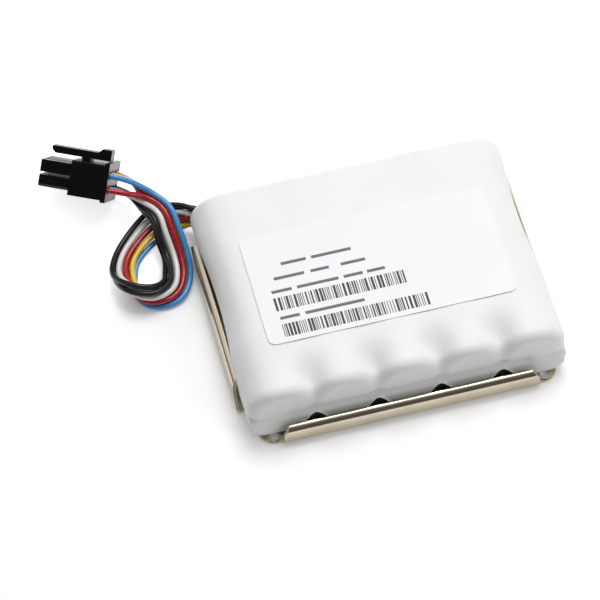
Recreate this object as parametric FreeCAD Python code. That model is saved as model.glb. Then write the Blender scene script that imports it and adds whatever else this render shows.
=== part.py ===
import FreeCAD, Part

import math
import os

# Cache power module: five capacitor cans lie side by side in a white shrink sleeve on a plated sheet
# bracket, and eight wires run from the balance board at the rear to a latching eight-way plug.
# Millimetres. X runs along the row of cans, Y along the cans from the front hem to the rear, Z is up.
# The origin is under the middle of the bracket, on the surface that it stands on.

# Capacitor cans
cell_count = 5
cell_diameter = 16.9
cell_gap = 0.7
cell_length = 60.0
cell_set_back = 1.25
cell_rim = 1.6
lead_size = 0.9
lead_spacing = 5.0
lead_stub = 0.9

# Shrink sleeve round the cans
film_length = 68.0
film_wall = 0.25
film_slack = 0.2
film_rear_round = 3.0
lobe_depth = 2.6
lobe_round = 2.4
lobe_step = 0.15
valley_front_radius = 4.5
valley_flat_radius = 300.0
valley_length = 14.5
hem_height = 5.4
hem_proud = 0.25
hem_end_round = 2.0
hem_overhang = 1.5
arch_radius = 4.4
arch_rise = 2.5
arch_depth = 1.2

# Rating label
label_width = 70.0
label_length = 35.0
label_thickness = 0.12
label_corner = 2.0
label_shift = -1.0

# Sheet bracket and the foam tape on it
sheet = 0.8
bend_radius = 0.4
rail_height = 6.2
curl_radius = 2.0
bracket_width = 92.4
bracket_length = 76.6
side_rail_front = 25.4
side_rail_back = 29.4
side_front_taper = 7.0
side_back_taper = 3.0
side_taper_foot = 1.6
end_rail_length = 72.4
end_rail_miter = 1.8
end_taper_foot = 4.2
tab_width = 84.6
tab_length = 75.0
tab_corner = 4.5
hole_diameter = 2.6
hole_spacing_x = 76.8
hole_spacing_y = 70.4
collar_wall = 0.8
collar_height = 0.4
tape_thickness = 1.0
tape_width = 70.0
tape_length = 54.0

# Balance board behind the cans, with its parts
board_width = 78.0
board_height = 12.5
board_thickness = 1.6
board_gap = 0.5
lead_hole_clearance = 0.1
resistor_size = (6.3, 3.2, 0.6)
resistor_rise = 3.4
resistor_shift = 4.6
transistor_size = (2.9, 1.4, 1.0)
transistor_drop = 3.6
transistor_shift = 3.4
chip_size = (4.9, 3.9, 1.5)
chip_drop = 3.2
capacitor_size = (2.0, 1.25, 1.0)
capacitor_pitch = 3.0
capacitor_count = 4
thermistor_diameter = 2.4
thermistor_length = 6.0

# Plug: two rows of silos on a block with a collar at the wire side and a lever latch on top
circuit_rows = 2
circuit_columns = 4
circuit_pitch = 4.2
plug_block_length = 10.8
plug_length = 19.5
plug_height = 9.8
plug_side_wall = 2.7
plug_collar_length = 1.4
plug_collar_lip = 0.6
silo_size = 3.4
silo_corner = 0.7
cavity_size = 2.3
contact_size = 1.5
contact_length = 13.0
wire_seat = 2.5
latch_width = 5.4
latch_gap = 0.8
latch_thickness = 2.0
latch_tail = 1.0
latch_tip = 17.9
latch_pad_length = 2.7
latch_pad_rise = 1.1
latch_neck_length = 2.5
latch_neck_start = 6.6
latch_tip_chamfer = 1.0

# Where the plug lies: the middle of its wire face from the bracket's left side and the sleeve's rear face,
# its heading and its lean on its lower edge
plug_left = 16.4
plug_behind = 16.4
plug_heading = 153.6
plug_lean = 38.0

# Wires: a bundle of two staggered layers. Each wire has its place across the bundle and up from its middle,
# then its column and row in the plug.
wire_diameter = 1.6
wire_lane = 1.8
wire_sides = 6
wire_places = {
    "wire_black_1": (1.5, 0.5, 1.5, -0.5),
    "wire_white_1": (0.5, 0.5, 1.5, 0.5),
    "wire_red_1": (-0.5, 0.5, 0.5, 0.5),
    "wire_yellow": (-1.5, 0.5, -0.5, 0.5),
    "wire_black_2": (1.0, -0.5, 0.5, -0.5),
    "wire_white_2": (0.0, -0.5, -0.5, -0.5),
    "wire_red_2": (-1.0, -0.5, -1.5, -0.5),
    "wire_blue": (-2.0, -0.5, -1.5, 0.5),
}
wire_approach = 4.0
header_wall = 0.3
slot_clearance = 0.6
slot_depth = 2.5

# Route of the bundle's middle. Each station holds its distance to the left and to the rear of a datum, its
# lift over the surface it lies on, its roll in degrees and how loosely the wires lie.
# The bundle starts on the board, leaves the sleeve at its rear left corner, makes one loop beside the pack,
# passes over itself in a low hump and rises to the plug.
bundle_start = (2.2, 1.4, 4.8, 90.0, 1.0)
bundle_exit = (6.6, 1.0, 3.6, 86.0, 1.0)
bundle_loop = [
    (0.4, 4.2, 1.0, 50.0, 1.23),
    (6.5, 5.7, 0.0, 12.0, 1.4),
    (12.4, 2.1, 0.0, -7.0, 1.12),
    (18.3, -3.6, 0.0, -4.0, 1.0),
    (20.7, -9.9, 0.0, 8.0, 1.15),
    (19.3, -16.5, 0.0, 63.0, 1.25),
    (14.0, -20.2, 0.0, 96.0, 1.16),
    (7.8, -18.4, 0.0, 135.0, 1.13),
    (5.4, -13.2, 0.0, 154.0, 1.18),
    (4.6, -7.3, 1.4, 193.0, 1.08),
    (5.5, -2.0, 4.2, 197.0, 1.15),
    (5.7, 3.6, 6.6, 198.0, 1.0),
    (9.0, 9.0, 5.1, 221.0, 1.04),
]

# Sizes that follow from the ones above
pitch = cell_diameter + cell_gap
row_middle = (cell_count - 1) / 2.0
film_radius = cell_diameter / 2.0 + film_slack + film_wall
film_bottom = sheet + tape_thickness
axis_height = film_bottom + film_radius
film_top = axis_height + film_radius
film_front = -film_length / 2.0
film_back = film_length / 2.0
row_front = film_front + lobe_depth
cell_front = film_front + cell_set_back
cell_back = cell_front + cell_length
board_front = cell_back + board_gap
board_back = board_front + board_thickness
board_bottom = axis_height - board_height / 2.0
bend_outer = bend_radius + sheet
wire_radius = wire_diameter / 2.0
wire_layer = wire_lane * math.sqrt(3.0) / 2.0
plug_width = (circuit_columns - 1) * circuit_pitch + 2.0 * plug_side_wall


def V(x, y, z):
    return FreeCAD.Vector(x, y, z)


def cell_x(index):
    """Middle of a can in the row."""
    return (index - row_middle) * pitch


def inward(index, shift):
    """A place behind a can, shifted towards the middle of the row."""
    return cell_x(index) - math.copysign(shift, index - row_middle)


def line(a, b):
    return Part.LineSegment(a, b).toShape()


def arc(a, b, c):
    return Part.Arc(a, b, c).toShape()


def block(x0, x1, y0, y1, z0, z1):
    return Part.makeBox(x1 - x0, y1 - y0, z1 - z0, V(x0, y0, z0))


def rod(radius, length, start, direction):
    return Part.makeCylinder(radius, length, start, direction)


def solid_of(shape):
    """One clean solid from the result of a boolean."""
    shape = shape.removeSplitter()
    return shape.Solids[0] if len(shape.Solids) == 1 else shape


def edges_on(shape, test):
    """Edges with both ends and the middle where the test holds."""
    found = []
    for edge in shape.Edges:
        places = [vertex.Point for vertex in edge.Vertexes]
        places.append(edge.valueAt((edge.FirstParameter + edge.LastParameter) / 2.0))
        if all(test(place) for place in places):
            found.append(edge)
    return found


# Bracket

def rail_profile(half_span):
    """Section of a rail at the side +X: foot, bend, wall and a quarter curl turned inwards."""
    wall = half_span
    inner = wall - sheet
    start = wall - bend_outer
    curl_z = rail_height - curl_radius
    curl_x = wall - curl_radius
    curl_in = curl_radius - sheet
    s = math.sqrt(0.5)
    edges = [
        line(V(start, 0, sheet), V(start, 0, 0)),
        arc(V(start, 0, 0), V(start + bend_outer * s, 0, bend_outer * (1 - s)), V(wall, 0, bend_outer)),
        line(V(wall, 0, bend_outer), V(wall, 0, curl_z)),
        arc(V(wall, 0, curl_z), V(curl_x + curl_radius * s, 0, curl_z + curl_radius * s), V(curl_x, 0, rail_height)),
        line(V(curl_x, 0, rail_height), V(curl_x, 0, rail_height - sheet)),
        arc(V(curl_x, 0, rail_height - sheet), V(curl_x + curl_in * s, 0, curl_z + curl_in * s), V(inner, 0, curl_z)),
        line(V(inner, 0, curl_z), V(inner, 0, bend_outer)),
        arc(V(inner, 0, bend_outer), V(start + bend_radius * s, 0, bend_outer - bend_radius * s), V(start, 0, sheet)),
    ]
    return Part.Face(Part.Wire(edges))


def rail(half_span, start, end, start_taper, end_taper, foot):
    """A curled rail along Y at +X, with its two upper corners cut off at a slant."""
    body = rail_profile(half_span).extrude(V(0, end - start, 0))
    body.translate(V(0, start, 0))
    reach = 2.0 * rail_height
    for place, taper, way in ((start, start_taper, 1.0), (end, end_taper, -1.0)):
        slope = (rail_height - foot) / taper
        corner = [
            V(0, place - way, foot - slope),
            V(0, place + way * reach, foot + slope * reach),
            V(0, place - way, foot + slope * reach),
        ]
        wedge = Part.Face(Part.makePolygon(corner + corner[:1])).extrude(V(2.0 * half_span, 0, 0))
        body = body.cut(wedge)
    return body


def bracket():
    """Flat plate with four rounded corner tabs, a curled rail on each side and a collared hole in each tab."""
    half_width = bracket_width / 2.0
    half_length = bracket_length / 2.0
    plate = block(-tab_width / 2.0, tab_width / 2.0, -tab_length / 2.0, tab_length / 2.0, 0, sheet)
    corners = edges_on(plate, lambda p: abs(abs(p.x) - tab_width / 2.0) < 0.01 and abs(abs(p.y) - tab_length / 2.0) < 0.01)
    plate = plate.makeFillet(tab_corner, corners)
    reach = half_width - bend_outer
    depth = half_length - bend_outer
    parts = [
        block(-reach, reach, -side_rail_front, side_rail_back, 0, sheet),
        block(-end_rail_length / 2.0, end_rail_length / 2.0, -depth, depth, 0, sheet),
    ]
    side = rail(half_width, -side_rail_front, side_rail_back, side_front_taper, side_back_taper, side_taper_foot)
    half = end_rail_length / 2.0
    end = rail(half_length, -half, half, end_rail_miter, end_rail_miter, end_taper_foot)
    parts.append(side)
    parts.append(side.mirror(V(0, 0, 0), V(1, 0, 0)))
    for turn in (-90.0, 90.0):
        turned = end.copy()
        turned.rotate(V(0, 0, 0), V(0, 0, 1), turn)
        parts.append(turned)
    holes = []
    for x in (-hole_spacing_x / 2.0, hole_spacing_x / 2.0):
        for y in (-hole_spacing_y / 2.0, hole_spacing_y / 2.0):
            parts.append(rod(hole_diameter / 2.0 + collar_wall, sheet + collar_height, V(x, y, 0), V(0, 0, 1)))
            holes.append(rod(hole_diameter / 2.0, sheet + 2.0 * collar_height, V(x, y, -collar_height / 2.0), V(0, 0, 1)))
    return solid_of(plate.fuse(parts).cut(holes))


def tape():
    """Foam tape that holds the pack on the plate."""
    return block(-tape_width / 2.0, tape_width / 2.0, -tape_length / 2.0, tape_length / 2.0, sheet, film_bottom)


# Shrink sleeve

def shoulder(x, way, y, radius, side, top):
    """Top of an end can, from its crown to where the hollow beside it starts."""
    half = math.atan2(side, top) / 2.0
    z = axis_height
    return arc(
        V(x, y, z + radius),
        V(x + way * radius * math.sin(half), y, z + radius * math.cos(half)),
        V(x + way * side, y, z + top))


def row_section(y, radius, valley):
    """Closed outline round the row of cans: round ends, a flat bottom, and a hollow between each two cans."""
    reach = radius + valley
    rise = math.sqrt(reach ** 2 - (pitch / 2.0) ** 2)
    side = pitch / 2.0 * radius / reach
    top = rise * radius / reach
    first = cell_x(0)
    last = cell_x(cell_count - 1)
    z = axis_height
    edges = [
        line(V(last, y, z - radius), V(first, y, z - radius)),
        arc(V(first, y, z - radius), V(first - radius, y, z), V(first, y, z + radius)),
        shoulder(first, 1.0, y, radius, side, top),
    ]
    for index in range(cell_count - 1):
        x = cell_x(index)
        middle = x + pitch / 2.0
        following = x + pitch
        edges.append(arc(V(x + side, y, z + top), V(middle, y, z + rise - valley), V(following - side, y, z + top)))
        if index < cell_count - 2:
            edges.append(arc(V(following - side, y, z + top), V(following, y, z + radius), V(following + side, y, z + top)))
    edges.append(shoulder(last, -1.0, y, radius, side, top))
    edges.append(arc(V(last, y, z + radius), V(last + radius, y, z), V(last, y, z - radius)))
    return Part.Wire(edges)


def valley_radius(share):
    """The hollows fill up from the front rim to the label: their radius grows with the distance."""
    return valley_front_radius * (valley_flat_radius / valley_front_radius) ** share


def rounding(radius):
    """A quarter round in two flats: pairs of inward and backward steps from the round's foot to its top."""
    half = math.radians(45.0)
    return [(0.0, 0.0), (radius * (1.0 - math.cos(half)), radius * math.sin(half)), (radius, radius)]


def lobe(index, inset, end):
    """Rounded front end of the film over one can, from the front back to the given place."""
    radius = film_radius - lobe_step - inset
    front = film_front + inset
    foot = front + lobe_round - inset
    outline = [V(0, end, 0), V(radius, end, 0)]
    outline += [V(radius - step_in, foot - step, 0) for step_in, step in rounding(lobe_round - inset)]
    outline.append(V(0, front, 0))
    body = Part.Face(Part.makePolygon(outline + outline[:1])).revolve(V(0, 0, 0), V(0, 1, 0), 360.0)
    body.translate(V(cell_x(index), 0, axis_height))
    return body


def hem(inset):
    """Straight skirt across the lower front of the row, with rounded ends."""
    half = cell_x(cell_count - 1) + hem_overhang - inset
    face = film_front - hem_proud + inset
    skirt = block(-half, half, face, row_front + inset, film_bottom + inset, film_bottom + hem_height - inset)
    corners = edges_on(skirt, lambda p: abs(p.y - face) < 0.001 and abs(abs(p.x) - half) < 0.001)
    return skirt.makeFillet(hem_end_round - inset, corners)


def film_outside():
    """The wrapped pack: hollows between the cans that fill up towards the label, and a rounded rear."""
    sections = []
    for share in (0.0, 0.2, 0.45, 1.0):
        sections.append(row_section(row_front + share * valley_length, film_radius, valley_radius(share)))
    foot = film_back - film_rear_round
    for step_in, step in rounding(film_rear_round):
        sections.append(row_section(foot + step, film_radius - step_in, valley_flat_radius + step_in))
    parts = [lobe(index, 0.0, row_front) for index in range(cell_count)]
    return Part.makeLoft(sections, True, True).fuse(parts + [hem(0.0)])


def flat_section(y, radius):
    """Outline with round ends and a flat top and bottom."""
    left = cell_x(0)
    right = cell_x(cell_count - 1)
    low = axis_height - radius
    high = axis_height + radius
    return Part.Wire([
        line(V(right, y, low), V(left, y, low)),
        arc(V(left, y, low), V(left - radius, y, axis_height), V(left, y, high)),
        line(V(left, y, high), V(right, y, high)),
        arc(V(right, y, high), V(right + radius, y, axis_height), V(right, y, low)),
    ])


def film_inside():
    """Room in the film: a bore for each can at the front, and one wide chamber behind them."""
    radius = film_radius - film_wall
    flat = row_front + valley_length
    foot = film_back - film_rear_round
    sections = [flat_section(flat, radius)]
    for step_in, step in rounding(film_rear_round - film_wall):
        sections.append(flat_section(foot + step, radius - step_in))
    parts = [lobe(index, film_wall, flat + lobe_depth) for index in range(cell_count)]
    parts.append(hem(film_wall))
    floor = film_bottom + film_wall
    parts.append(block(cell_x(0), cell_x(cell_count - 1), row_front + film_wall, flat + lobe_depth, floor, axis_height))
    return Part.makeLoft(sections, True, True).fuse(parts)


def wire_slot():
    """Way out for the bundle, along its first run, through the rear of the sleeve."""
    start, end = bundle_middle()[:2]
    way = end.sub(start)
    way.normalize()
    width = wire_layer + wire_diameter + 2.0 * slot_clearance
    lanes = [place[0] for place in wire_places.values()]
    low = min(lanes) * wire_lane - wire_radius - slot_clearance
    high = max(lanes) * wire_lane + wire_radius + slot_clearance
    slot = Part.makeBox(start.distanceToPoint(end) + slot_depth, width, high - low, V(0, -width / 2.0, low))
    slot.rotate(V(0, 0, 0), V(0, 0, 1), math.degrees(math.atan2(way.y, way.x)))
    share = (film_back - start.y) / (end.y - start.y)
    slot.translate(V(start.x, start.y, start.z + share * (end.z - start.z)))
    return slot


def shrink_sleeve():
    """Thin film over the row, with a rounded lobe at each can's front and a hem scalloped between the cans."""
    arches = []
    for index in range(cell_count - 1):
        x = cell_x(index) + pitch / 2.0
        z = film_bottom + arch_rise - arch_radius
        start = V(x, film_front - hem_proud - arch_depth, z)
        arches.append(rod(arch_radius, lobe_depth + hem_proud + 2.0 * arch_depth, start, V(0, 1, 0)))
    return film_outside().cut(film_inside()).cut(arches + [wire_slot()])


def rating_label():
    """Thin label on the flat top of the sleeve, with rounded corners."""
    x = label_width / 2.0
    y = label_length / 2.0
    sticker = block(-x, x, label_shift - y, label_shift + y, film_top, film_top + label_thickness)
    corners = edges_on(sticker, lambda p: abs(abs(p.x) - x) < 0.001 and abs(abs(p.y - label_shift) - y) < 0.001)
    return sticker.makeFillet(label_corner, corners)


# Cans and board

def cell(index):
    """Sealed can: a closed front end with a bevelled rim."""
    radius = cell_diameter / 2.0
    outline = [
        V(0, cell_front, 0),
        V(radius - cell_rim, cell_front, 0),
        V(radius, cell_front + cell_rim, 0),
        V(radius, cell_back, 0),
        V(0, cell_back, 0),
    ]
    can = Part.Face(Part.makePolygon(outline + outline[:1])).revolve(V(0, 0, 0), V(0, 1, 0), 360.0)
    can.translate(V(cell_x(index), 0, axis_height))
    return can


def lead_places():
    """The two leads of each can, one above the other on its rear face."""
    places = []
    for index in range(cell_count):
        for side in (-0.5, 0.5):
            places.append((cell_x(index), axis_height + side * lead_spacing))
    return places


def lead(size, start, end):
    """Square bars of the given size at every lead's place."""
    half = size / 2.0
    return [block(x - half, x + half, start, end, z - half, z + half) for x, z in lead_places()]


def cell_leads():
    """Stiff square leads from the cans through the board."""
    return Part.makeCompound(lead(lead_size, cell_back, board_back + lead_stub))


def balance_board():
    """Narrow board across the rear of the row, slotted for the leads."""
    board = block(-board_width / 2.0, board_width / 2.0, board_front, board_back, board_bottom, board_bottom + board_height)
    return solid_of(board.cut(lead(lead_size + 2.0 * lead_hole_clearance, board_front, board_back)))


def on_board(size, x, z):
    """A flat part of the given width, height and thickness on the rear face of the board."""
    width, height, thickness = size
    return block(x - width / 2.0, x + width / 2.0, board_back, board_back + thickness, z - height / 2.0, z + height / 2.0)


def balance_resistors():
    """One flat load resistor behind each can."""
    height = axis_height + resistor_rise
    return Part.makeCompound([on_board(resistor_size, inward(i, resistor_shift), height) for i in range(cell_count)])


def balance_transistors():
    """One small switch behind each can."""
    height = axis_height - transistor_drop
    return Part.makeCompound([on_board(transistor_size, inward(i, transistor_shift), height) for i in range(cell_count)])


def chip(side):
    """A control chip between two cans, on one side of the middle."""
    return on_board(chip_size, side * pitch / 2.0, axis_height - chip_drop)


def chip_capacitors():
    """A short row of small capacitors between the two chips."""
    first = -(capacitor_count - 1) / 2.0 * capacitor_pitch
    places = [first + index * capacitor_pitch for index in range(capacitor_count)]
    return Part.makeCompound([on_board(capacitor_size, x, axis_height) for x in places])


def wire_header():
    """Wedge-shaped terminal block on the board: its slanted face is square to the wires' first run."""
    start, end = bundle_middle()[:2]
    way = end.sub(start)
    way.z = 0.0
    way.normalize()
    across = V(-way.y, way.x, 0) * ((wire_layer + wire_diameter) / 2.0)
    low = bundle_low(bundle_route()[0]) - header_wall / 2.0
    high = bundle_high(bundle_route()[0]) + header_wall / 2.0
    near = start + across
    far = start - across
    outline = [
        V(near.x, near.y, low),
        V(far.x, far.y, low),
        V(far.x + header_wall, far.y, low),
        V(far.x + header_wall, board_back, low),
        V(near.x, board_back, low),
    ]
    return Part.Face(Part.makePolygon(outline + outline[:1])).extrude(V(0, 0, high - low))


def thermistor():
    """A bead in the hollow between two cans, under the film, against the front of the board."""
    reach = cell_diameter / 2.0 + thermistor_diameter / 2.0 + film_slack
    drop = math.sqrt(reach ** 2 - (pitch / 2.0) ** 2)
    return rod(thermistor_diameter / 2.0, thermistor_length, V(0.5 * pitch, board_front - thermistor_length, axis_height - drop), V(0, 1, 0))


# Plug

def plug_axes():
    """Directions of the plug: towards its mating end, along its columns, and up to its latch."""
    turn = math.radians(plug_heading)
    lean = math.radians(plug_lean)
    ahead = V(math.cos(turn), math.sin(turn), 0)
    right = V(math.sin(turn), -math.cos(turn), 0)
    up = V(0, 0, 1)
    columns = right * math.sin(lean) - up * math.cos(lean)
    rows = right * math.cos(lean) + up * math.sin(lean)
    return ahead, columns, rows


def plug_middle():
    """Middle of the wire face, so that the lower edge of the collar lies on the surface."""
    lean = math.radians(plug_lean)
    height = plug_width / 2.0 * math.cos(lean) + (plug_height / 2.0 + plug_collar_lip) * math.sin(lean)
    return V(-bracket_width / 2.0 - plug_left, film_back + plug_behind, height)


def place_plug(shape):
    """From the plug's own axes (X ahead, Y along the columns, Z to the latch) to where it lies."""
    ahead, columns, rows = plug_axes()
    middle = plug_middle()
    matrix = FreeCAD.Matrix(
        ahead.x, columns.x, rows.x, middle.x,
        ahead.y, columns.y, rows.y, middle.y,
        ahead.z, columns.z, rows.z, middle.z,
        0, 0, 0, 1)
    return shape.transformed(matrix)


def circuit_places():
    """Column and row offsets of the circuits."""
    columns = [(index - (circuit_columns - 1) / 2.0) * circuit_pitch for index in range(circuit_columns)]
    rows = [(index - (circuit_rows - 1) / 2.0) * circuit_pitch for index in range(circuit_rows)]
    return [(column, row) for column in columns for row in rows]


def silo(column, row, keyed):
    """One square silo ahead of the block; a keyed one has its two outer corners cut."""
    half = silo_size / 2.0
    body = block(plug_block_length, plug_length, column - half, column + half, row - half, row + half)
    if not keyed:
        return body
    outer = row + math.copysign(half, row)
    corners = edges_on(body, lambda p: abs(p.z - outer) < 0.001 and abs(abs(p.y - column) - half) < 0.001)
    return body.makeChamfer(silo_corner, corners)


def latch():
    """Lever on a short neck: a chamfered hook end ahead and a raised thumb pad over the wire side."""
    base = plug_height / 2.0
    low = base + latch_gap
    high = low + latch_thickness
    pad = latch_tail + latch_pad_length
    neck = latch_neck_start + latch_neck_length
    outline = [
        V(latch_tail, 0, low),
        V(latch_neck_start, 0, low),
        V(latch_neck_start, 0, base),
        V(neck, 0, base),
        V(neck, 0, low),
        V(latch_tip - latch_tip_chamfer, 0, low),
        V(latch_tip, 0, low + latch_tip_chamfer),
        V(latch_tip, 0, high),
        V(pad + latch_pad_rise, 0, high),
        V(pad, 0, high + latch_pad_rise),
        V(latch_tail, 0, high + latch_pad_rise),
    ]
    lever = Part.Face(Part.makePolygon(outline + outline[:1])).extrude(V(0, latch_width, 0))
    lever.translate(V(0, -latch_width / 2.0, 0))
    return lever


def connector_housing():
    """Moulded housing: block, collar, silos with their cavities, and the latch, all in one piece."""
    half = plug_width / 2.0
    height = plug_height / 2.0
    collar = height + plug_collar_lip
    parts = [block(0, plug_collar_length, -half, half, -collar, collar), latch()]
    cavity = cavity_size / 2.0
    cavities = []
    for number, (column, row) in enumerate(circuit_places()):
        parts.append(silo(column, row, number % 3 == 0))
        cavities.append(block(-1.0, plug_length + 1.0, column - cavity, column + cavity, row - cavity, row + cavity))
    body = block(0, plug_block_length, -half, half, -height, height).fuse(parts).cut(cavities)
    return place_plug(solid_of(body))


def crimp_contacts():
    """A square contact in each cavity, from the wire's end towards the silo's mouth."""
    half = contact_size / 2.0
    contacts = []
    for column, row in circuit_places():
        contacts.append(block(wire_seat, wire_seat + contact_length, column - half, column + half, row - half, row + half))
    return place_plug(Part.makeCompound(contacts))


# Wires

def bundle_route():
    """Stations of the bundle in the part's own frame: x, y, lift, roll and looseness."""
    first = cell_x(0)
    side = -bracket_width / 2.0
    left, behind = bundle_start[:2]
    stations = [(first - left, board_back + behind) + bundle_start[2:]]
    left, behind = bundle_exit[:2]
    stations.append((first - left, film_back + behind) + bundle_exit[2:])
    for station in bundle_loop:
        stations.append((side - station[0], film_back + station[1]) + station[2:])
    return stations


def bundle_offset(lane, layer, station):
    """Sideways and upward distance of a wire from the bundle's middle at a station."""
    turn = math.radians(station[3])
    across = lane * wire_lane * station[4]
    up = layer * wire_layer * station[4]
    return across * math.cos(turn) - up * math.sin(turn), across * math.sin(turn) + up * math.cos(turn)


def bundle_height(station):
    """Height of the bundle's middle: its lowest wire rests on the surface, plus the station's lift."""
    lowest = min(bundle_offset(lane, layer, station)[1] for lane, layer, _, _ in wire_places.values())
    return wire_radius - lowest + station[2]


def bundle_low(station):
    """Under side of the bundle at a station."""
    return station[2]


def bundle_high(station):
    """Upper side of the bundle at a station."""
    highest = max(bundle_offset(lane, layer, station)[1] for lane, layer, _, _ in wire_places.values())
    return bundle_height(station) + highest + wire_radius


def bundle_middle():
    """Points of the bundle's middle."""
    return [V(station[0], station[1], bundle_height(station)) for station in bundle_route()]


def wire_points(lane, layer, column, row):
    """Route of one wire: its place in the bundle, then its own hole in the plug."""
    middle = bundle_middle()
    ahead, columns, rows = plug_axes()
    points = []
    for index, (point, station) in enumerate(zip(middle, bundle_route())):
        before = middle[max(index - 1, 0)]
        after = middle[min(index + 1, len(middle) - 1)]
        heading = math.atan2(after.y - before.y, after.x - before.x)
        side, up = bundle_offset(lane, layer, station)
        points.append(point + V(side * math.sin(heading), -side * math.cos(heading), up))
    hole = plug_middle() + columns * (column * circuit_pitch) + rows * (row * circuit_pitch)
    points.append(hole - ahead * wire_approach)
    points.append(hole + ahead * wire_seat)
    return points


def rounded_path(points):
    """Straight runs joined by tangent arcs, each as large as its shorter run allows, with the radii."""
    edges = []
    radii = []
    start = points[0]
    for before, corner, after in zip(points, points[1:], points[2:]):
        back = before.sub(corner)
        ahead = after.sub(corner)
        reach = 0.45 * min(back.Length, ahead.Length)
        back.normalize()
        ahead.normalize()
        half = (math.pi - back.getAngle(ahead)) / 2.0
        radius = reach / math.tan(half)
        inward = back + ahead
        inward.normalize()
        first = corner + back * reach
        last = corner + ahead * reach
        edges.append(line(start, first))
        edges.append(arc(first, corner + inward * (radius / math.cos(half) - radius), last))
        radii.append(radius)
        start = last
    edges.append(line(start, points[-1]))
    return Part.Wire(edges), radii


def wire(name):
    """Plain tube of one wire."""
    points = wire_points(*wire_places[name])
    path, radii = rounded_path(points)
    way = points[1].sub(points[0])
    way.normalize()
    across = way.cross(V(0, 0, 1))
    across.normalize()
    up = across.cross(way)
    rim = []
    for step in range(wire_sides):
        turn = 2.0 * math.pi * (step + 0.5) / wire_sides
        rim.append(points[0] + across * (wire_radius * math.cos(turn)) + up * (wire_radius * math.sin(turn)))
    section = Part.makePolygon(rim + rim[:1])
    tube = path.makePipeShell([section], True, False)
    area = Part.Face(section).Area
    share = tube.Volume / (area * path.Length)
    print("%s length %.1f, radii %s, volume share %.3f" % (name, path.Length, " ".join("%.1f" % r for r in radii), share))
    return tube


def build():
    os.makedirs("parts", exist_ok=True)
    nodes = {
        "bracket": bracket(),
        "mounting_tape": tape(),
        "shrink_sleeve": shrink_sleeve(),
        "rating_label": rating_label(),
        "cell_leads": cell_leads(),
        "balance_board": balance_board(),
        "balance_resistors": balance_resistors(),
        "balance_transistors": balance_transistors(),
        "gauge_chip": chip(-1.0),
        "memory_chip": chip(1.0),
        "chip_capacitors": chip_capacitors(),
        "wire_header": wire_header(),
        "thermistor": thermistor(),
        "connector_housing": connector_housing(),
        "crimp_contacts": crimp_contacts(),
    }
    for index in range(cell_count):
        nodes["cell_%d" % (index + 1)] = cell(index)
    for name in wire_places:
        nodes[name] = wire(name)
    for name, shape in nodes.items():
        shape.exportStep(os.path.join("parts", name + ".step"))
        print("%-20s solids %d valid %s volume %.1f" % (name, len(shape.Solids), shape.isValid(), shape.Volume))


build()
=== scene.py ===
"""Five capacitor cans in white shrink film on a plated bracket, with a looped wire lead and a plug."""
import math
import random

import bmesh
import bpy
import numpy as np
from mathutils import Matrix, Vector


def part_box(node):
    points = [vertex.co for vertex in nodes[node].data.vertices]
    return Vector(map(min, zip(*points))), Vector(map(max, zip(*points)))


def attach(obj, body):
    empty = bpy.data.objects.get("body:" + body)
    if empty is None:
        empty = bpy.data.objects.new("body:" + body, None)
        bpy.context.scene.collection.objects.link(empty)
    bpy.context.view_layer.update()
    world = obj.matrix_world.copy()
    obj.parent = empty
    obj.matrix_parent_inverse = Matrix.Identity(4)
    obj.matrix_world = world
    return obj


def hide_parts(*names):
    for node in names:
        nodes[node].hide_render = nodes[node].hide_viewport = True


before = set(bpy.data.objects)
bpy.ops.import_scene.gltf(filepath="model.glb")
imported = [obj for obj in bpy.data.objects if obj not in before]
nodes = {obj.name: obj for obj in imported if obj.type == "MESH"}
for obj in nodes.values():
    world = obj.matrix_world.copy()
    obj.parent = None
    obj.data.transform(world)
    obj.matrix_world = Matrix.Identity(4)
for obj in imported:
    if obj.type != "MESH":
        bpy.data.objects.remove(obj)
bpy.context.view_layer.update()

MM = 0.001
ROOT = "root"


# Sizes read from the frame, in millimetres

def box_mm(node):
    """Lowest and highest corner of a CAD node in millimetres."""
    low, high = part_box(node)
    return [v / MM for v in low], [v / MM for v in high]


film_low, film_high = box_mm("shrink_sleeve")
label_top = box_mm("rating_label")[1][2]

cell_count = 5
film_radius = (film_high[2] - film_low[2]) / 2
film_axis = (film_high[2] + film_low[2]) / 2
cell_reach = film_high[0] - film_radius
cell_pitch = 2 * cell_reach / (cell_count - 1)


# Mesh helpers

weld_distance = 1e-6

# Corners of a slab's six sides, for four corners below and then the four above them
slab_sides = [(3, 2, 1, 0), (4, 5, 6, 7), (0, 1, 5, 4), (1, 2, 6, 5), (2, 3, 7, 6), (3, 0, 4, 7)]


def add_object(name, data):
    """Puts new data into the scene as an object."""
    thing = bpy.data.objects.new(name, data)
    bpy.context.scene.collection.objects.link(thing)
    return thing


def add_mesh(name, points_mm, faces, material):
    """A mesh piece from points in millimetres."""
    mesh = bpy.data.meshes.new(name)
    mesh.from_pydata([tuple(v * MM for v in p) for p in points_mm], [], faces)
    mesh.update()
    mesh.materials.append(material)
    return add_object(name, mesh)


def weld(piece):
    """Joins points that coincide and turns the faces outward."""
    work = bmesh.new()
    work.from_mesh(piece.data)
    bmesh.ops.remove_doubles(work, verts=work.verts, dist=weld_distance)
    bmesh.ops.recalc_face_normals(work, faces=work.faces)
    work.to_mesh(piece.data)
    work.free()


# Material helpers

tone_stops = (0.3, 0.7)
patch_detail = 3
grain_detail = 2
grain_strength = 0.5
coat_roughness = 0.12


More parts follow.
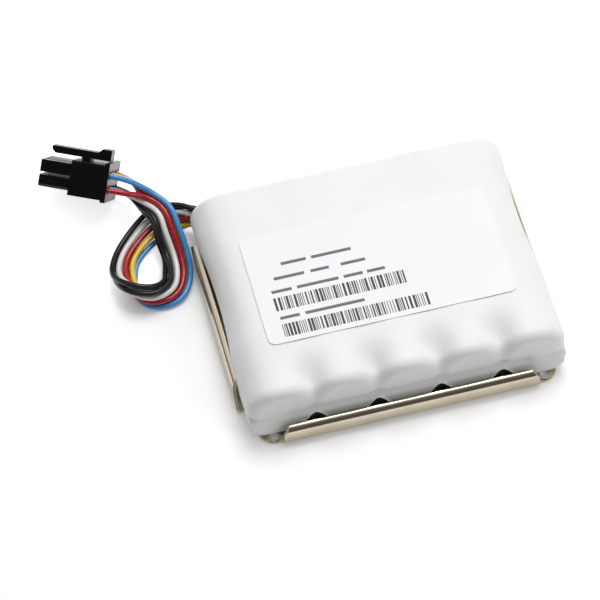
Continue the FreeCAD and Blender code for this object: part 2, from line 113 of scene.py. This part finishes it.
def noise(tree_nodes, links, feature_mm, detail):
    """Noise in object space with features of about that many millimetres."""
    place = tree_nodes.new("ShaderNodeTexCoord")
    texture = tree_nodes.new("ShaderNodeTexNoise")
    texture.inputs["Scale"].default_value = 1 / (feature_mm * MM)
    texture.inputs["Detail"].default_value = detail
    links.new(place.outputs["Object"], texture.inputs["Vector"])
    return texture.outputs["Fac"]


def toned(tree_nodes, links, factor, dark, light):
    """A colour that runs from dark to light with the factor."""
    ramp = tree_nodes.new("ShaderNodeValToRGB")
    for element, stop, tone in zip(ramp.color_ramp.elements, tone_stops, (dark, light)):
        element.position = stop
        element.color = (*tone, 1)
    links.new(factor, ramp.inputs["Fac"])
    return ramp.outputs["Color"]


def ranged(tree_nodes, links, factor, low, high):
    """A value that runs from low to high with the factor."""
    span = tree_nodes.new("ShaderNodeMapRange")
    span.inputs["To Min"].default_value = low
    span.inputs["To Max"].default_value = high
    links.new(factor, span.inputs["Value"])
    return span.outputs["Result"]


def stepped(tree_nodes, links, value, reach, near, far):
    """A value that goes softly from near to far while another crosses the reach."""
    span = tree_nodes.new("ShaderNodeMapRange")
    span.interpolation_type = "SMOOTHSTEP"
    span.inputs["From Min"].default_value, span.inputs["From Max"].default_value = reach
    span.inputs["To Min"].default_value = near
    span.inputs["To Max"].default_value = far
    links.new(value, span.inputs["Value"])
    return span.outputs["Result"]


def combined(tree_nodes, links, operation, first, second):
    """Two values put together by a math node."""
    both = tree_nodes.new("ShaderNodeMath")
    both.operation = operation
    links.new(first, both.inputs[0])
    links.new(second, both.inputs[1])
    return both.outputs["Value"]


def bumped(tree_nodes, links, height, depth_mm):
    """A normal with that relief."""
    bump = tree_nodes.new("ShaderNodeBump")
    bump.inputs["Strength"].default_value = grain_strength
    bump.inputs["Distance"].default_value = depth_mm * MM
    links.new(height, bump.inputs["Height"])
    return bump.outputs["Normal"]


def surface(name, dark, light, patch_mm, rough, grain_mm, grain_depth_mm,
            metallic=0.0, coat=0.0, gloss=0.5):
    """Two close tones in soft patches, and a fine grain that varies the roughness and the relief."""
    material = bpy.data.materials.new(name)
    material.use_nodes = True
    tree_nodes, links = material.node_tree.nodes, material.node_tree.links
    shader = tree_nodes["Principled BSDF"]
    patches = noise(tree_nodes, links, patch_mm, patch_detail)
    grain = noise(tree_nodes, links, grain_mm, grain_detail)
    links.new(toned(tree_nodes, links, patches, dark, light), shader.inputs["Base Color"])
    links.new(ranged(tree_nodes, links, grain, *rough), shader.inputs["Roughness"])
    links.new(bumped(tree_nodes, links, grain, grain_depth_mm), shader.inputs["Normal"])
    shader.inputs["Metallic"].default_value = metallic
    shader.inputs["Coat Weight"].default_value = coat
    shader.inputs["Coat Roughness"].default_value = coat_roughness
    shader.inputs["Specular IOR Level"].default_value = gloss
    return material


# Materials, one for each slot of the record, then those of the print, and a dark brown painted shade for
# the walls of the cuts in the film, which stands in for the shadowed space inside the arches and the
# slot.
# Each look: its dark and light tone, the size of their patches, the range of its roughness, the size
# and depth of its grain, and what sets it apart from a plain surface

plain = {}
metal = {"metallic": 1.0}
insulation = (4, (0.22, 0.32), 0.5, 0.006, {"coat": 0.15})

looks = {
    "plated_steel": ((0.60, 0.53, 0.41), (0.68, 0.61, 0.48), 9, (0.13, 0.19), 0.5, 0.001, metal),
    "foam_tape": ((0.05, 0.05, 0.05), (0.09, 0.09, 0.09), 2, (0.8, 0.95), 0.6, 0.1, plain),
    "white_film": ((0.83, 0.83, 0.825), (0.87, 0.87, 0.87), 14, (0.34, 0.46), 3.2, 0.05,
                   {"gloss": 0.22}),
    "label_white": ((0.88, 0.88, 0.905), (0.90, 0.90, 0.925), 18, (0.42, 0.52), 0.5, 0.004,
                    {"gloss": 0.25}),
    "can_metal": ((0.62, 0.62, 0.63), (0.72, 0.72, 0.73), 6, (0.2, 0.3), 0.4, 0.01, metal),
    "tinned_lead": ((0.6, 0.6, 0.6), (0.7, 0.7, 0.7), 2, (0.2, 0.35), 0.3, 0.01, metal),
    "board_green": ((0.01, 0.09, 0.04), (0.02, 0.13, 0.06), 3, (0.3, 0.45), 0.4, 0.02, plain),
    "chip_black": ((0.012, 0.012, 0.013), (0.025, 0.025, 0.026), 1.5, (0.45, 0.6), 0.2, 0.01,
                   plain),
    "ceramic_tan": ((0.42, 0.27, 0.14), (0.52, 0.36, 0.2), 1, (0.3, 0.45), 0.2, 0.01, plain),
    "header_white": ((0.68, 0.66, 0.6), (0.75, 0.73, 0.68), 2, (0.4, 0.5), 0.3, 0.01, plain),
    "bead_dark": ((0.015, 0.012, 0.01), (0.04, 0.03, 0.025), 1, (0.2, 0.35), 0.3, 0.01, plain),
    "plug_black": ((0.004, 0.0035, 0.0035), (0.007, 0.006, 0.006), 2.5, (0.27, 0.34), 0.25, 0.004,
                   {"gloss": 0.15}),
    "contact_brass": ((0.7, 0.5, 0.2), (0.8, 0.6, 0.28), 2, (0.2, 0.3), 0.3, 0.01, metal),
    "wire_black": ((0.006, 0.006, 0.007), (0.011, 0.011, 0.012), 3, (0.24, 0.34), 0.5, 0.006,
                   {"coat": 0.1, "gloss": 0.3}),
    "wire_white": ((0.76, 0.74, 0.71), (0.83, 0.81, 0.78), *insulation),
    "wire_red": ((0.38, 0.004, 0.014), (0.46, 0.008, 0.020), *insulation),
    "wire_yellow": ((0.72, 0.48, 0.02), (0.80, 0.56, 0.04), *insulation),
    "wire_blue": ((0.05, 0.28, 0.68), (0.08, 0.34, 0.76), *insulation),
    "print_ink": ((0.010, 0.010, 0.011), (0.022, 0.022, 0.024), 1.2, (0.45, 0.6), 0.2, 0.002,
                  plain),
    "print_grey": ((0.10, 0.10, 0.105), (0.17, 0.17, 0.175), 0.6, (0.5, 0.6), 0.2, 0.002, plain),
    # Painted shade: a dark brown that stands in for the shadowed space inside the film's arches and slot
    "painted_hollow_shade": ((0.15, 0.100, 0.080), (0.20, 0.140, 0.115), 1.5, (0.6, 0.8), 0.5, 0.01, plain),
}

materials = {name: surface(name, *look, **apart) for name, (*look, apart) in looks.items()}

for node in nodes.values():
    for material_slot in node.material_slots:
        material_slot.material = materials[material_slot.material.name]


# Shrink film: the cans' own field, filled between the lobes, with an apron and a scalloped hem

# Lobes and the grooves between them, which fill up towards the rear
hem_proud = 0.25
lobe_front = film_low[1] + hem_proud
lobe_back = film_high[1]
rim_round = 3.0
rear_round = 2.4
groove_fill = 3.4
flat_fill = 17.0
groove_length = 18.0
top_round = 2.0
top_rise = 0.12

# Sides: how deep each is pinched, where along the can and over what half length, and the front skirt
side_swell = 0.75
left_pinch = (1.05, 5.0, 19.0)
right_pinch = (1.05, 9.0, 19.0)
skirt_back = -17.5
skirt_length = 7.0
skirt_squareness = 3.0

# Apron below the front discs, and the crease pressed in above it
apron_top = 8.3
apron_back = 0.0
apron_round = 0.8
apron_lean = 0.2
apron_top_blend = 1.0
apron_row_blend = 0.5
front_depth = 2.5
front_ease = 1.5
crease_depth = 0.9
crease_spread = 1.1
crease_half_width = 33.0
crease_ease = 3

# Arches in the hem, one under each groove
arch_half_width = 6.2
arch_apex = 7.0
arch_depth = 1.3
arch_flare = 0.35
arch_flare_width = 0.3
arch_ease = 1.5
arch_steps = 32
arch_drop = 0.001
cutter_ahead = 2
cutter_below = 1

# Grid of rays: stations along, deep and round each corner, and runs of tilts with their counts
columns_along = 201
columns_deep = 61
corner_steps = 16
tilt_stops = (90, 10, -50, -90)
tilt_counts = (35, 51, 13)
fan_inset = 8.0
march_reach = 26.0
march_steps = 34
sharp_angle = math.radians(42)


def smooth_least(a, b, reach):
    """The lesser of two distances, blended where they are within reach of each other."""
    near = np.maximum(reach - np.abs(a - b), 0) / reach
    return np.minimum(a, b) - near * near * reach / 4


def rounded_end(radial, lengthwise, rounding):
    """Distance to a prism with a rounded end edge, from those to its wall and to its end plane."""
    out = np.hypot(np.maximum(radial + rounding, 0), np.maximum(lengthwise + rounding, 0))
    return out + np.minimum(np.maximum(radial, lengthwise) + rounding, 0) - rounding


def ease(t):
    """A soft step from 0 to 1."""
    t = np.clip(t, 0, 1)
    return t * t * (3 - 2 * t)


def end_radial(x, y, z):
    """Distance to the section past an end can: pinched at mid-length, squared below at the front."""
    depth, middle, half_length = (np.where(x < 0, left, right)
                                  for left, right in zip(left_pinch, right_pinch))
    pinch = depth * np.maximum(1 - ((y - middle) / half_length) ** 2, 0)
    half_width = film_radius + side_swell - pinch
    power = 2 + skirt_squareness * ease((skirt_back - y) / skirt_length) * (z < film_axis)
    across = np.maximum(np.abs(x) - cell_reach, 0) / half_width
    upward = np.abs(z - film_axis) / film_radius
    return ((across ** power + upward ** power) ** (1 / power) - 1) * film_radius


def film_field(p):
    """Signed distance, roughly, to the outside of the film at points p (n, 3) in millimetres."""
    x, y, z = p[:, 0], p[:, 1], p[:, 2]
    fill = groove_fill + (flat_fill - groove_fill) * ease((y - lobe_front) / groove_length)
    hull = end_radial(x, y, z)
    row = None
    for index in range(cell_count):
        radial = np.hypot(x + cell_reach - index * cell_pitch, z - film_axis) - film_radius
        if index == 0:
            radial = np.where(-x > cell_reach, hull, radial)
        if index == cell_count - 1:
            radial = np.where(x > cell_reach, hull, radial)
        lobe = rounded_end(radial, lobe_front - y, rim_round)
        row = lobe if row is None else smooth_least(row, lobe, fill)
    row = -smooth_least(-row, film_high[2] + top_rise - z, top_round)
    row = rounded_end(row, y - lobe_back, rear_round)
    front = film_low[1] - apron_lean * (apron_top - z)
    apron = rounded_end(hull, np.maximum(front - y, y - apron_back), apron_round)
    apron = -smooth_least(-apron, apron_top - z, apron_top_blend)
    whole = smooth_least(row, apron, apron_row_blend)
    return np.maximum(whole, film_low[2] - z)


def march(origins, directions):
    """Where rays from inside leave the film."""
    near = np.zeros(len(origins))
    far = np.full(len(origins), march_reach)
    for _ in range(march_steps):
        middle = (near + far) / 2
        inside = film_field(origins + directions * middle[:, None]) < 0
        near = np.where(inside, middle, near)
        far = np.where(inside, far, middle)
    return origins + directions * near[:, None]


def perimeter():
    """Stations round the core slab, an origin and a level heading for each, and the slab's columns."""
    front = lobe_front + fan_inset
    back = lobe_back - fan_inset
    xs = np.linspace(-cell_reach, cell_reach, columns_along)
    ys = np.linspace(front, back, columns_deep)
    corners = np.linspace(0, math.pi / 2, corner_steps + 1)[1:]
    stations = [(x, front, -math.pi / 2) for x in xs]
    stations += [(cell_reach, front, -math.pi / 2 + a) for a in corners]
    stations += [(cell_reach, y, 0) for y in ys[1:]]
    stations += [(cell_reach, back, a) for a in corners]
    stations += [(x, back, math.pi / 2) for x in xs[::-1][1:]]
    stations += [(-cell_reach, back, math.pi / 2 + a) for a in corners]
    stations += [(-cell_reach, y, math.pi) for y in ys[::-1][1:]]
    stations += [(-cell_reach, front, math.pi + a) for a in corners[:-1]]
    return stations, xs, ys


def wall_tilts():
    """Tilts of the wall's rays, from straight up to straight down."""
    runs = [np.linspace(*run) for run in zip(tilt_stops, tilt_stops[1:], tilt_counts)]
    return np.radians(np.concatenate(runs[:1] + [run[1:] for run in runs[1:]]))


def arch_middles():
    """Places of the arches along the row."""
    return [-cell_reach + (gap + 0.5) * cell_pitch for gap in range(cell_count - 1)]


def arch_height(offset):
    """Lower edge of the hem at that distance from an arch's middle."""
    share = np.clip(np.abs(offset) / arch_half_width, 0, 1)
    return film_low[2] + (arch_apex - film_low[2]) * np.cos(math.pi / 2 * share) ** 2


def press_front(points):
    """Presses the crease into the front of the film and flares the edges of the arches."""
    front = ease((lobe_front + front_depth - points[:, 1]) / front_ease)
    pressed = np.exp(-((points[:, 2] - apron_top) / crease_spread) ** 2)
    inward = crease_half_width + crease_ease - np.abs(points[:, 0])
    pressed *= front * ease(inward / crease_ease)
    points[:, 1] += crease_depth * pressed
    for middle in arch_middles():
        offset = points[:, 0] - middle
        above = points[:, 2] - arch_height(offset)
        flare = np.exp(-((above - arch_flare_width / 2) / arch_flare_width) ** 2)
        flare *= front * ease((arch_half_width - np.abs(offset)) / arch_ease)
        points[:, 1] -= arch_flare * flare


def film_mesh():
    """The film's outside as one closed grid: walls fanned from the slab's edge, top and bottom off it."""
    stations, xs, ys = perimeter()
    tilts = wall_tilts()
    origins, directions, faces = [], [], []
    for tilt in tilts:
        for x, y, heading in stations:
            origins.append((x, y, film_axis))
            directions.append((math.cos(heading) * math.cos(tilt),
                               math.sin(heading) * math.cos(tilt), math.sin(tilt)))
    count = len(stations)
    for row in range(len(tilts) - 1):
        for column in range(count):
            a = row * count + column
            b = row * count + (column + 1) % count
            faces.append((a, a + count, b + count, b))
    width = len(xs)
    for up in (1, -1):
        base = len(origins)
        for y in ys:
            for x in xs:
                origins.append((x, y, film_axis))
                directions.append((0, 0, up))
        for j in range(len(ys) - 1):
            for i in range(width - 1):
                a = base + j * width + i
                quad = (a, a + 1, a + width + 1, a + width)
                faces.append(quad if up > 0 else quad[::-1])
    points = march(np.array(origins), np.array(directions))
    press_front(points)
    return points, faces


def arch_cutter():
    """Bell-shaped bars that cut the scallops into the hem, one under each groove."""
    points, faces = [], []
    foot = film_low[2] - cutter_below
    size = 2 * (arch_steps + 1)
    for middle in arch_middles():
        base = len(points)
        for y in (film_low[1] - cutter_ahead, film_low[1] + arch_depth):
            for k in range(arch_steps + 1):
                offset = arch_half_width * (2 * k / arch_steps - 1)
                points.append((middle + offset, y, float(arch_height(offset)) - arch_drop))
                points.append((middle + offset, y, foot))
        for k in range(arch_steps):
            top, low = base + 2 * k, base + 2 * k + 1
            faces.append((low, low + 2, top + 2, top))
            faces.append((size + low + 2, size + low, size + top, size + top + 2))
            faces.append((top, top + 2, size + top + 2, size + top))
            faces.append((low + 2, low, size + low, size + low + 2))
        for side in (base, base + 2 * arch_steps):
            faces.append((side, side + 1, size + side + 1, size + side))
    return points, faces


def slot_cutter():
    """A bar along the wires' first run, for the slot in the film that they leave through."""
    start, end = (Vector(station[:2]) for station in route[:2])
    way = (end - start).normalized()
    across = Vector((-way.y, way.x)) * slot_half_width
    far = end + way * slot_reach
    corners = [start - across, far - across, far + across, start + across]
    points = [(*corner, height) for height in slot_heights for corner in corners]
    return points, slab_sides


def cut_away(piece, name, points, faces):
    """Cuts a hollow out of a piece, its walls in painted shade."""
    cutter = add_mesh(name, points, faces, materials["white_film"])
    # The cutter's walls carry the painted shade into the cut
    cutter.data.materials.append(materials["painted_hollow_shade"])
    weld(cutter)
    for polygon in cutter.data.polygons:
        polygon.material_index = 1
    cut = piece.modifiers.new(name, "BOOLEAN")
    cut.operation = "DIFFERENCE"
    cut.solver = "EXACT"
    cut.object = cutter
    bpy.context.view_layer.update()
    shown = piece.evaluated_get(bpy.context.evaluated_depsgraph_get())
    mesh = bpy.data.meshes.new_from_object(shown)
    piece.modifiers.clear()
    piece.data = mesh
    bpy.data.objects.remove(cutter)


def drop_slivers(piece):
    """Splits the faces into triangles and drops the pairs that a cut leaves folded on each other."""
    cut = piece.data
    cut.calc_loop_triangles()
    corners = np.array([triangle.vertices[:] for triangle in cut.loop_triangles])
    slots = np.array([triangle.material_index for triangle in cut.loop_triangles])
    _, group, copies = np.unique(np.sort(corners, axis=1), axis=0, return_inverse=True,
                                 return_counts=True)
    single = copies[group.ravel()] == 1
    used, corners = np.unique(corners[single], return_inverse=True)
    places = [cut.vertices[index].co[:] for index in used.tolist()]
    mesh = bpy.data.meshes.new(piece.name)
    mesh.from_pydata(places, [], corners.reshape(-1, 3).tolist())
    for material in cut.materials:
        mesh.materials.append(material)
    mesh.polygons.foreach_set("material_index", slots[single])
    piece.data = mesh


def make_film():
    """The film in place of the CAD sleeve, with its arches and the wires' slot cut out, their walls in
    painted shade.
    """
    points, faces = film_mesh()
    film = add_mesh("film_sleeve", points, faces, materials["white_film"])
    weld(film)
    # Second slot: painted shade for the walls of the cuts
    film.data.materials.append(materials["painted_hollow_shade"])
    cut_away(film, "arches", *arch_cutter())
    cut_away(film, "slot", *slot_cutter())
    drop_slivers(film)
    film.data.polygons.foreach_set("use_smooth", [True] * len(film.data.polygons))
    film.data.set_sharp_from_angle(angle=sharp_angle)
    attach(film, ROOT)
    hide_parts("shrink_sleeve")


# Label print: stripe codes and plain rules

# Each code: its left and right end, then its front and rear edge
stripe_rows = [(-30.4, 6.9, -8.4, -4.2), (-30.2, 11.0, -16.9, -12.8)]
stripe_seed = 11
stripe_widths = (0.22, 0.22, 0.44, 0.66)
stripe_gaps = (0.22, 0.33, 0.33, 0.55)

# Each line: its front edge, then the ends of its rules
rule_rows = [
    (5.7, (-25.5, -18.4), (-16.9, -5.6)),
    (1.4, (-28.6, -20.0), (-18.2, -13.0), (-9.6, -2.7)),
    (-2.7, (-30.3, -24.6), (-23.1, -11.4), (-9.9, -4.5), (-3.3, 1.8)),
    (-11.3, (-30.1, -24.6), (-23.0, -6.3)),
]
rule_height = 0.95
print_lift = 0.02


def plate(points, faces, x_low, x_high, y_low, y_high):
    """Adds one printed patch, a thin closed slab set halfway into the label's face."""
    base = len(points)
    for z in (label_top - print_lift, label_top + print_lift):
        points += [(x_low, y_low, z), (x_high, y_low, z), (x_high, y_high, z), (x_low, y_high, z)]
    faces += [tuple(base + corner for corner in side) for side in slab_sides]


def make_stripes():
    """Stripe codes of random bars."""
    points, faces = [], []
    widths = random.Random(stripe_seed)
    for x_low, x_high, y_low, y_high in stripe_rows:
        x = x_low
        while x < x_high:
            dark = min(widths.choice(stripe_widths), x_high - x)
            plate(points, faces, x, x + dark, y_low, y_high)
            x += dark + widths.choice(stripe_gaps)
    stripes = add_mesh("label_stripes", points, faces, materials["print_ink"])
    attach(stripes, ROOT)


def make_rules():
    """Plain rules where a label has its lines of text."""
    points, faces = [], []
    for y, *words in rule_rows:
        for x_low, x_high in words:
            plate(points, faces, x_low, x_high, y, y + rule_height)
    rules = add_mesh("label_rules", points, faces, materials["print_grey"])
    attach(rules, ROOT)


# Wires: the route's stations are the ones that the CAD tubes follow

wire_diameter = 1.6
wire_lane = 1.8
wire_approach = 4.0
wire_seat = 2.5
wire_order = 3
wire_round_steps = 5
wire_length_steps = 10
circuit_pitch = 4.2
board_back = 29.35
film_back = 34.0
left_can = -cell_reach
left_side = -46.2
plug_middle = Vector((-62.6, 50.4, 10.478))
plug_heading = math.radians(153.6)
plug_lean = math.radians(38)
slot_half_width = 2.2
slot_heights = (3.4, 13.2)
slot_reach = 4.0

# Each wire: its place across the bundle and up from its middle, its column and row in the plug,
# its colour and its length
wires = {
    "wire_black_1": (1.5, 0.5, 1.5, -0.5, "wire_black", 108.8),
    "wire_white_1": (0.5, 0.5, 1.5, 0.5, "wire_white", 105.9),
    "wire_red_1": (-0.5, 0.5, 0.5, 0.5, "wire_red", 100.7),
    "wire_yellow": (-1.5, 0.5, -0.5, 0.5, "wire_yellow", 99.0),
    "wire_black_2": (1.0, -0.5, 0.5, -0.5, "wire_black", 109.4),
    "wire_white_2": (0.0, -0.5, -0.5, -0.5, "wire_white", 104.9),
    "wire_red_2": (-1.0, -0.5, -1.5, -0.5, "wire_red", 104.1),
    "wire_blue": (-2.0, -0.5, -1.5, 0.5, "wire_blue", 104.6),
}

# Each station: the bundle's place in plan, its lift, its roll in degrees and how loosely the wires lie
route = [
    (left_can - 2.2, board_back + 1.4, 4.8, 90, 1.0),
    (left_can - 6.6, film_back + 1.0, 3.6, 86, 1.0),
    (left_side - 0.4, film_back + 4.2, 1.0, 50, 1.23),
    (left_side - 6.5, film_back + 5.7, 0, 12, 1.4),
    (left_side - 12.4, film_back + 2.1, 0, -7, 1.12),
    (left_side - 18.3, film_back - 3.6, 0, -4, 1.0),
    (left_side - 20.7, film_back - 9.9, 0, 8, 1.15),
    (left_side - 19.3, film_back - 16.5, 0, 63, 1.25),
    (left_side - 14.0, film_back - 20.2, 0, 96, 1.16),
    (left_side - 7.8, film_back - 18.4, 0, 135, 1.13),
    (left_side - 5.4, film_back - 13.2, 0, 154, 1.18),
    (left_side - 4.6, film_back - 7.3, 1.4, 193, 1.08),
    (left_side - 5.5, film_back - 2.0, 4.2, 197, 1.15),
    (left_side - 5.7, film_back + 3.6, 6.6, 198, 1.0),
    (left_side - 9.0, film_back + 9.0, 5.1, 221, 1.04),
]


def lattice(lane, layer, roll, looseness):
    """A wire's place across the bundle and above its middle."""
    across = lane * wire_lane * looseness
    up = layer * wire_lane * math.sqrt(3) / 2 * looseness
    turn = math.radians(roll)
    side = across * math.cos(turn) - up * math.sin(turn)
    rise = across * math.sin(turn) + up * math.cos(turn)
    return side, rise


def bundle_heading(index):
    """The way the bundle runs at a station, in plan."""
    before = route[max(index - 1, 0)]
    after = route[min(index + 1, len(route) - 1)]
    return math.atan2(after[1] - before[1], after[0] - before[0])


def plug_hole(column, row):
    """Middle of a wire's hole in the plug's wire face, and the way the plug points."""
    ahead = Vector((math.cos(plug_heading), math.sin(plug_heading), 0))
    right = Vector((math.sin(plug_heading), -math.cos(plug_heading), 0))
    up = Vector((0, 0, 1))
    columns = right * math.sin(plug_lean) - up * math.cos(plug_lean)
    rows = right * math.cos(plug_lean) + up * math.sin(plug_lean)
    return plug_middle + (columns * column + rows * row) * circuit_pitch, ahead


def wire_points(lane, layer, column, row):
    """A wire's points from the header, along the route and into its hole in the plug."""
    points = []
    for index, (x, y, lift, roll, looseness) in enumerate(route):
        lowest = min(lattice(w[0], w[1], roll, looseness)[1] for w in wires.values())
        side, rise = lattice(lane, layer, roll, looseness)
        heading = bundle_heading(index)
        middle = wire_diameter / 2 - lowest + lift
        points.append(Vector((x + side * math.sin(heading), y - side * math.cos(heading),
                              middle + rise)))
    hole, ahead = plug_hole(column, row)
    points.append(hole - ahead * wire_approach)
    points.append(hole + ahead * wire_seat)
    return points


def make_wire(name, lane, layer, column, row, colour, length):
    """A cord in place of a CAD wire."""
    curve = bpy.data.curves.new("lead_" + name, "CURVE")
    curve.dimensions = "3D"
    curve.bevel_depth = wire_diameter / 2 * MM
    curve.bevel_resolution = wire_round_steps
    curve.resolution_u = wire_length_steps
    curve.use_fill_caps = True
    points = wire_points(lane, layer, column, row)
    spline = curve.splines.new("NURBS")
    spline.points.add(len(points) - 1)
    for target, point in zip(spline.points, points):
        target.co = (*(point * MM), 1)
    spline.order_u = wire_order
    spline.use_endpoint_u = True
    curve.materials.append(materials[colour])
    piece = add_object("lead_" + name, curve)
    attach(piece, ROOT)
    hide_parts(name)


# Floor, light and camera, in metres

floor_half = 3.0
floor_glow = 0.12
# Painted light: a pool of glow on the floor round the plug, which washes out the plug's shadow
painted_light_at_plug = 0.75
painted_light_reach = (0.022, 0.038)
painted_light_shift = 0.012


def make_floor():
    """Pale floor. The eye and the gloss see it a little brighter than its light, and a pool of painted
    light round the plug washes out the plug's shadow there.
    """
    mesh = bpy.data.meshes.new("floor")
    corners = [(-floor_half, -floor_half, 0), (floor_half, -floor_half, 0),
               (floor_half, floor_half, 0), (-floor_half, floor_half, 0)]
    mesh.from_pydata(corners, [], [(0, 1, 2, 3)])
    material = surface("floor_white", (0.95, 0.95, 0.95), (0.96, 0.96, 0.96), 60, (0.7, 0.8), 5,
                       0.001, gloss=0)
    tree_nodes, links = material.node_tree.nodes, material.node_tree.links
    path = tree_nodes.new("ShaderNodeLightPath")
    seen = path.outputs["Is Camera Ray"]
    for ray in ("Is Glossy Ray", "Is Transmission Ray"):
        seen = combined(tree_nodes, links, "MAXIMUM", seen, path.outputs[ray])
    place = tree_nodes.new("ShaderNodeTexCoord")
    away = tree_nodes.new("ShaderNodeVectorMath")
    away.operation = "DISTANCE"
    away.inputs[1].default_value = (plug_middle.x * MM - painted_light_shift, plug_middle.y * MM, 0)
    links.new(place.outputs["Object"], away.inputs[0])
    # The pool of painted light round the plug, fading out to the even floor glow
    painted_light_pool = stepped(tree_nodes, links, away.outputs["Value"], painted_light_reach, painted_light_at_plug, floor_glow)
    shader = tree_nodes["Principled BSDF"]
    shader.inputs["Emission Color"].default_value = (1, 1, 1, 1)
    links.new(combined(tree_nodes, links, "MULTIPLY", seen, painted_light_pool),
              shader.inputs["Emission Strength"])
    mesh.materials.append(material)
    floor = add_object("floor", mesh)


# Each lamp: its place, its size and its power
lamps = {
    "key": ((0.15, 0.25, 0.74), (0.42, 0.36), 3.2),
    "fill": ((0.52, -0.46, 0.42), (0.4, 0.4), 1.4),
}
lamp_target = (0, 0, 0)
sky_bright = 0.86
sky_dim = 0.10
sky_middle = Vector((0, 0.6, 0.8))
sky_edge = (0.40, 0.85)


def aim(thing, target):
    """Turns a lamp or a camera towards a place."""
    toward = Vector(target) - thing.location
    thing.rotation_euler = toward.to_track_quat("-Z", "Y").to_euler()


def area_light(name, place, size, power):
    """A soft lamp that points at the part."""
    lamp = bpy.data.lights.new(name, "AREA")
    lamp.shape = "RECTANGLE"
    lamp.size, lamp.size_y = size
    lamp.energy = power
    holder = add_object(name, lamp)
    holder.location = place
    aim(holder, lamp_target)


def make_light():
    """A soft key from behind, a weak fill from the right, and a sky that is dim on the viewer's side."""
    for name, lamp in lamps.items():
        area_light(name, *lamp)
    world = bpy.data.worlds.new("studio")
    world.use_nodes = True
    tree_nodes, links = world.node_tree.nodes, world.node_tree.links
    place = tree_nodes.new("ShaderNodeTexCoord")
    facing = tree_nodes.new("ShaderNodeVectorMath")
    facing.operation = "DOT_PRODUCT"
    facing.inputs[1].default_value = sky_middle
    links.new(place.outputs["Generated"], facing.inputs[0])
    sky = stepped(tree_nodes, links, facing.outputs["Value"], sky_edge, sky_dim, sky_bright)
    background = tree_nodes["Background"]
    background.inputs["Color"].default_value = (1, 1, 1, 1)
    links.new(sky, background.inputs["Strength"])
    bpy.context.scene.world = world


camera_azimuth = math.radians(-14.9)
camera_elevation = math.radians(57.9)
camera_distance = 1.113
camera_target = Vector((-0.0202, 0.0055, 0))
camera_lens = 240
camera_sensor = 36
camera_clip = (0.05, 20)


def make_camera():
    """A long lens at the photograph's viewing angle."""
    lens = bpy.data.cameras.new("camera")
    lens.lens = camera_lens
    lens.sensor_width = camera_sensor
    lens.clip_start, lens.clip_end = camera_clip
    camera = add_object("camera", lens)
    level = math.cos(camera_elevation)
    back = Vector((math.sin(camera_azimuth) * level, -math.cos(camera_azimuth) * level,
                   math.sin(camera_elevation)))
    camera.location = camera_target + back * camera_distance
    aim(camera, camera_target)
    bpy.context.scene.camera = camera


make_film()
make_stripes()
make_rules()
for wire_name, wire in wires.items():
    make_wire(wire_name, *wire)
make_floor()
make_light()
make_camera()
bpy.context.scene.view_settings.view_transform = "Standard"
